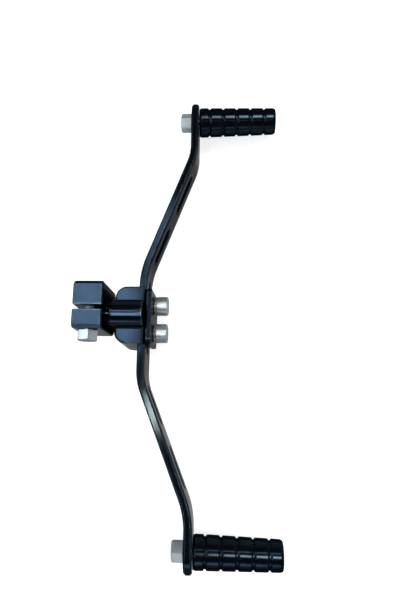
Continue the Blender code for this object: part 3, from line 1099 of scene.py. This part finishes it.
def hex_bolt_rings(flats, head, length, turn, plain, pitch):
    """A hex bolt along X with the underside of its head at nought and the head on the low side."""
    outer = hexagon_ring(flats, turn)
    flat_r = flats / 2 - 0.35
    # the head's chamfer is a cone of 30 degrees, which cuts the flats in curves
    slope = math.tan(math.radians(30))
    crown = [-head + max(0.0, (math.hypot(u, v) - flat_r) * slope) for u, v in outer]
    return [
        # a dished face
        [(-head + 0.25, 0.0, 0.0)],
        round_ring(-head + 0.25, flat_r - 1.9),
        round_ring(-head, flat_r - 1.2),
        round_ring(-head, flat_r - 0.12),
        round_ring(-head + 0.03, flat_r),
        # the flats, rounded off at both ends
        [(x + 0.02, u * 0.992, v * 0.992) for x, (u, v) in zip(crown, outer)],
        [(x + 0.12, u, v) for x, (u, v) in zip(crown, outer)],
        [(-0.45, u, v) for u, v in outer],
        [(-0.15, u * 0.975, v * 0.975) for u, v in outer],
        # the underside
        round_ring(0.0, flats / 2 - 0.5),
        round_ring(0.0, SCREW_R + 0.35),
        *shank_rings(0.3, length, plain, pitch),
    ]


def socket_screw_rings(seat, pitch):
    """A socket head cap screw along X with the underside of its head at seat."""
    top = seat + SCREW_HEAD_HEIGHT
    rings = []
    for ring in reversed(shank_rings(-SCREW_LENGTH, 0.0, 0.0, pitch)):
        rings.append([(-SCREW_LENGTH - x + seat, u, v) for x, u, v in ring])
    rings.append(round_ring(seat, SCREW_R + 0.3))
    rings.append(round_ring(seat, SCREW_HEAD_R - 0.35))
    rings.append(round_ring(seat + 0.3, SCREW_HEAD_R))
    # shallow rings left by the heading die
    for k in range(1, 5):
        x = seat + 0.3 + k * 1.2
        for offset, cut in ((-0.18, 0.0), (-0.06, 0.06), (0.06, 0.06), (0.18, 0.0)):
            rings.append(round_ring(x + offset, SCREW_HEAD_R - cut))
    # the head's rounded rim, as (how far below the top, how far inside the head)
    for drop, cut in ((0.85, 0.0), (0.6, 0.06), (0.35, 0.22), (0.12, 0.5), (0.0, 0.95)):
        rings.append(round_ring(top - drop, SCREW_HEAD_R - cut))
    rings.append(round_ring(top, SOCKET_FLATS / 2 + 0.95))
    for x in (top - 0.5, top - SOCKET_DEPTH):
        rings.append([(x, u, v) for u, v in hexagon_ring(SOCKET_FLATS, 0.0, 0.1)])
    rings.append([(top - SOCKET_DEPTH - 1.0, 0.0, 0.0)])
    return rings


def moved(rings, offset, swap=False):
    """The rings shifted; with swap, what ran along X runs along Y."""
    made = []
    for ring in rings:
        turned = [(-y, x, z) if swap else (x, y, z) for x, y, z in ring]
        made.append([tuple(Vector(p) + Vector(offset)) for p in turned])
    return made


class GEARLEVER_OT_cap_screws(Operator):
    """Builds the two socket head cap screws that close the channel block"""

    bl_idname = "gear_lever.cap_screws"
    bl_label = "Cap screws"

    def execute(self, context):
        pitch = context.scene.lever_sizes.thread_pitch / MM
        seat = PLATE_RIGHT + WASHER_THICK + 2 * GAP
        for name, y in zip(("upper", "lower"), MOUNT_YS):
            rings = moved(socket_screw_rings(seat, pitch), (0, y, ARM_Z))
            screw = make_object(f"{name}_cap_screw", loft(rings))
            dress(screw, "zinc_steel", f"{name}_mount_screw")
        return {"FINISHED"}


class GEARLEVER_OT_spring_washers(Operator):
    """Coils the two split spring washers under the cap screws"""

    bl_idname = "gear_lever.spring_washers"
    bl_label = "Spring washers"

    def execute(self, context):
        start = PLATE_RIGHT + GAP
        thick = WASHER_THICK - WASHER_RISE
        corners = [(0.0, SCREW_CLEARANCE_R), (0.0, WASHER_R)]
        corners += [(thick, WASHER_R), (thick, SCREW_CLEARANCE_R)]
        section = rounded(corners, WASHER_EDGE_R, range(4))
        for name, middle in zip(("upper", "lower"), MOUNT_YS):
            rings = []
            for i in range(WASHER_STEPS + 1):
                angle = math.radians(WASHER_START + WASHER_SWEEP * i / WASHER_STEPS)
                lift = WASHER_RISE * i / WASHER_STEPS
                ring = []
                for x, radius in section:
                    y = middle + radius * math.cos(angle)
                    ring.append((start + lift + x, y, ARM_Z + radius * math.sin(angle)))
                rings.append(ring)
            washer = make_object(f"{name}_split_washer", loft(rings))
            dress(washer, "zinc_steel", f"{name}_spring_washer", 40.0)
        return {"FINISHED"}


class GEARLEVER_OT_hex_bolts(Operator):
    """Builds the pinch bolt and the two hex bolts that hold the foot pegs"""

    bl_idname = "gear_lever.hex_bolts"
    bl_label = "Hex bolts"

    def execute(self, context):
        sizes = context.scene.lever_sizes
        pitch = sizes.thread_pitch / MM
        flats = sizes.hex_flats / MM
        under = ARM_THICK / 2 + GAP
        rings = hex_bolt_rings(
            flats, PEG_BOLT_HEAD, PEG_BOLT_LENGTH, PEG_BOLT_TURN, PEG_BOLT_PLAIN, pitch
        )
        for name, x, y in (
            ("toe_peg_bolt", TOE_END_X, TOE_PEG_Y),
            ("heel_peg_bolt", HEEL_END_X, HEEL_PEG_Y),
        ):
            bolt = make_object(f"{name}_plated", loft(moved(rings, (x - under, y, ARM_Z))))
            dress(bolt, "zinc_steel", name)
        rings = hex_bolt_rings(flats, PINCH_HEAD, PINCH_LENGTH, PINCH_TURN, PINCH_PLAIN, pitch)
        place = (PINCH_X, CLAMP_LOW_Y - GAP, PINCH_Z)
        bolt = make_object("pinch_bolt_plated", loft(moved(rings, place, swap=True)))
        dress(bolt, "zinc_steel", "pinch_bolt")
        return {"FINISHED"}


# Studio

CAMERA_PLACE = (91.13, -67.54, 346.13)
CAMERA_TURN = (13.359, 4.733, 1.413)
CAMERA_LENS = 32.94
CAMERA_SHIFT = (0.0446, -0.0127)
FLOOR_HALF = 4.0
FLOOR_DROP = 0.0004
COOL_LAMP = "#e2f0ff"
WARM_LAMP = "#fff5eb"
YELLOW_LAMP = "#fff0cf"


def add_camera():
    data = bpy.data.cameras.new("studio_camera")
    data.sensor_width = 36.0
    data.lens = CAMERA_LENS
    data.shift_x, data.shift_y = CAMERA_SHIFT
    data.clip_start = 0.01
    camera = add_object("studio_camera", data)
    camera.location = Vector(CAMERA_PLACE) * MM
    camera.rotation_euler = Euler([math.radians(a) for a in CAMERA_TURN])
    bpy.context.scene.camera = camera


def add_softbox(
    name, place, target, size, brightness, spread=180.0, colour=COOL_LAMP, along=(1, 0, 0)
):
    """A rectangular lamp, in millimetres, that faces target; size is (along, across).

    Brightness is what a mirror in front of it shows, where white paper is 1. A spread below 180
    degrees keeps its light to a beam.
    """
    half = math.radians(spread) / 2
    gathered = 1.0 if spread >= 180.0 else (math.tan(half) - half) / math.tan(half)
    data = bpy.data.lights.new(name, "AREA")
    data.shape = "RECTANGLE"
    data.size = size[0] * MM
    data.size_y = size[1] * MM
    data.energy = brightness * math.pi * size[0] * size[1] * MM**2 * gathered
    data.color = linear(colour)[:3]
    data.spread = math.radians(spread)
    lamp = add_object(name, data)
    back = (Vector(place) - Vector(target)).normalized()
    first = (Vector(along) - back * back.dot(Vector(along))).normalized()
    turn = Matrix((first, back.cross(first), back)).transposed()
    lamp.matrix_world = Matrix.Translation(Vector(place) * MM) @ turn.to_4x4()
    lamp.visible_camera = False


def seen_directly(tree):
    """Is Camera Ray, and 1 for camera rays and for mirrored or refracted ones."""
    path = add_node(tree, "ShaderNodeLightPath").outputs
    seen = path["Is Camera Ray"]
    for other in ("Is Glossy Ray", "Is Transmission Ray"):
        seen = add_node(
            tree,
            "ShaderNodeMath",
            settings={"operation": "MAXIMUM"},
            links={0: seen, 1: path[other]},
        ).outputs[0]
    return path["Is Camera Ray"], seen


def add_floor(colours):
    level = CAD_BOX[0][2] - FLOOR_DROP
    corners = rectangle(-FLOOR_HALF, -FLOOR_HALF, FLOOR_HALF, FLOOR_HALF)
    bm = bmesh.new()
    bm.faces.new([bm.verts.new((x, y, level)) for x, y in corners])
    floor = make_object("studio_floor", bm)
    made, tree = new_material("matt white studio paper")
    camera, seen = seen_directly(tree)
    paper = add_node(tree, "ShaderNodeBsdfDiffuse", values={"Color": colours.floor})
    # bleached to white for the camera, less so where the metal mirrors it
    lift = add_node(
        tree,
        "ShaderNodeMix",
        settings={"data_type": "FLOAT"},
        values={"A": 0.06, "B": 0.7},
        links={"Factor": camera},
    )
    glow = add_node(
        tree,
        "ShaderNodeEmission",
        values={"Color": (1, 1, 1, 1)},
        links={"Strength": lift.outputs["Result"]},
    )
    both = add_node(
        tree, "ShaderNodeAddShader", links={0: paper.outputs["BSDF"], 1: glow.outputs["Emission"]}
    )
    mixed = add_node(
        tree,
        "ShaderNodeMixShader",
        links={0: seen, 1: paper.outputs["BSDF"], 2: both.outputs["Shader"]},
    )
    add_node(tree, "ShaderNodeOutputMaterial", links={"Surface": mixed.outputs["Shader"]})
    floor.data.materials.append(made)


def add_world():
    """White for the camera. The metal mirrors pale sides and a dim ceiling."""
    world = bpy.data.worlds.new("white studio")
    world.use_nodes = True
    tree = world.node_tree
    tree.nodes.clear()
    camera, seen = seen_directly(tree)
    direction = add_node(tree, "ShaderNodeTexCoord").outputs["Generated"]
    height = add_node(tree, "ShaderNodeSeparateXYZ", links={"Vector": direction}).outputs["Z"]
    ceiling = add_node(
        tree,
        "ShaderNodeMapRange",
        settings={"interpolation_type": "SMOOTHSTEP"},
        values={"From Min": 0.05, "From Max": 0.6, "To Min": 0.6, "To Max": 0.12},
        links={"Value": height},
    )
    mirrored = add_node(
        tree,
        "ShaderNodeMix",
        settings={"data_type": "FLOAT"},
        values={"B": 1.0},
        links={"Factor": camera, "A": ceiling.outputs["Result"]},
    )
    strength = add_node(
        tree,
        "ShaderNodeMix",
        settings={"data_type": "FLOAT"},
        values={"A": 0.6},
        links={"Factor": seen, "B": mirrored.outputs["Result"]},
    )
    sky = add_node(
        tree,
        "ShaderNodeBackground",
        values={"Color": (1, 1, 1, 1)},
        links={"Strength": strength.outputs["Result"]},
    )
    add_node(tree, "ShaderNodeOutputWorld", links={"Surface": sky.outputs["Background"]})
    bpy.context.scene.world = world


class GEARLEVER_OT_studio(Operator):
    """Sets up the pale floor, the soft lamps, the white surroundings and the camera"""

    bl_idname = "gear_lever.studio"
    bl_label = "Studio"

    def execute(self, context):
        add_camera()
        add_floor(context.scene.lever_colours)
        add_world()
        heel, toe = (105, -146, -12), (103, 149, -12)
        add_softbox("hub_softbox", (-165, 155, 800), (20, 0, 0), (160, 150), 9.5)
        add_softbox("neck_softbox", (-120, -240, 789), (30, -20, 9), (80, 360), 21.0, 44.0)
        add_softbox("heel_softbox", (230, -160, 800), heel, (240, 180), 27.0, 34.0, WARM_LAMP)
        add_softbox("toe_softbox", (205, 380, 800), toe, (250, 310), 27.0, 27.0, WARM_LAMP)
        add_softbox("arm_lamp", (-49, -48, 800), (48, -50, -9), (36, 64), 60.0, 40.0, YELLOW_LAMP)
        add_softbox("upper_arm_softbox", (-45, 330, 800), (50, 60, -9), (70, 180), 5.0)
        add_softbox("low_heel_side", (112, -414, 131), heel, (130, 120), 4.0, 36.0)
        add_softbox("low_hub_side", (-130, -590, 110), (9, -15, 20), (160, 120), 4.5, 30.0)
        add_softbox("low_outer_side", (900, 0, 95), (45, 0, 0), (1100, 130), 0.8, along=(0, 1, 0))
        add_softbox("left_softbox", (-683, 140, 789), (9, -16, 14), (400, 400), 5.5)
        context.scene.view_settings.view_transform = "Standard"
        return {"FINISHED"}


# Panel and registering


class GEARLEVER_PT_panel(Panel):
    """Lists the pieces of the lever"""

    bl_label = "Gear lever"
    bl_idname = "GEARLEVER_PT_panel"
    bl_space_type = "VIEW_3D"
    bl_region_type = "UI"
    bl_category = "Gear lever"

    def draw(self, context):
        layout = self.layout
        for group in (context.scene.lever_sizes, context.scene.lever_colours):
            box = layout.box()
            for key in group.__annotations__:
                box.prop(group, key)
        for operator in OPERATORS:
            layout.operator(operator.bl_idname)


OPERATORS = (
    GEARLEVER_OT_clamp_hub,
    GEARLEVER_OT_arm,
    GEARLEVER_OT_cover_plate,
    GEARLEVER_OT_foot_pegs,
    GEARLEVER_OT_cap_screws,
    GEARLEVER_OT_spring_washers,
    GEARLEVER_OT_hex_bolts,
    GEARLEVER_OT_studio,
)
CLASSES = (LeverSizes, LeverColours, *OPERATORS, GEARLEVER_PT_panel)


def register():
    for cls in CLASSES:
        bpy.utils.register_class(cls)
    bpy.types.Scene.lever_sizes = PointerProperty(type=LeverSizes)
    bpy.types.Scene.lever_colours = PointerProperty(type=LeverColours)


def unregister():
    del bpy.types.Scene.lever_colours
    del bpy.types.Scene.lever_sizes
    for cls in reversed(CLASSES):
        bpy.utils.unregister_class(cls)


def main():
    register()
    bpy.ops.gear_lever.clamp_hub()
    bpy.ops.gear_lever.arm()
    bpy.ops.gear_lever.cover_plate()
    bpy.ops.gear_lever.foot_pegs()
    bpy.ops.gear_lever.cap_screws()
    bpy.ops.gear_lever.spring_washers()
    bpy.ops.gear_lever.hex_bolts()
    bpy.ops.gear_lever.studio()


if __name__ == "__main__":
    main()
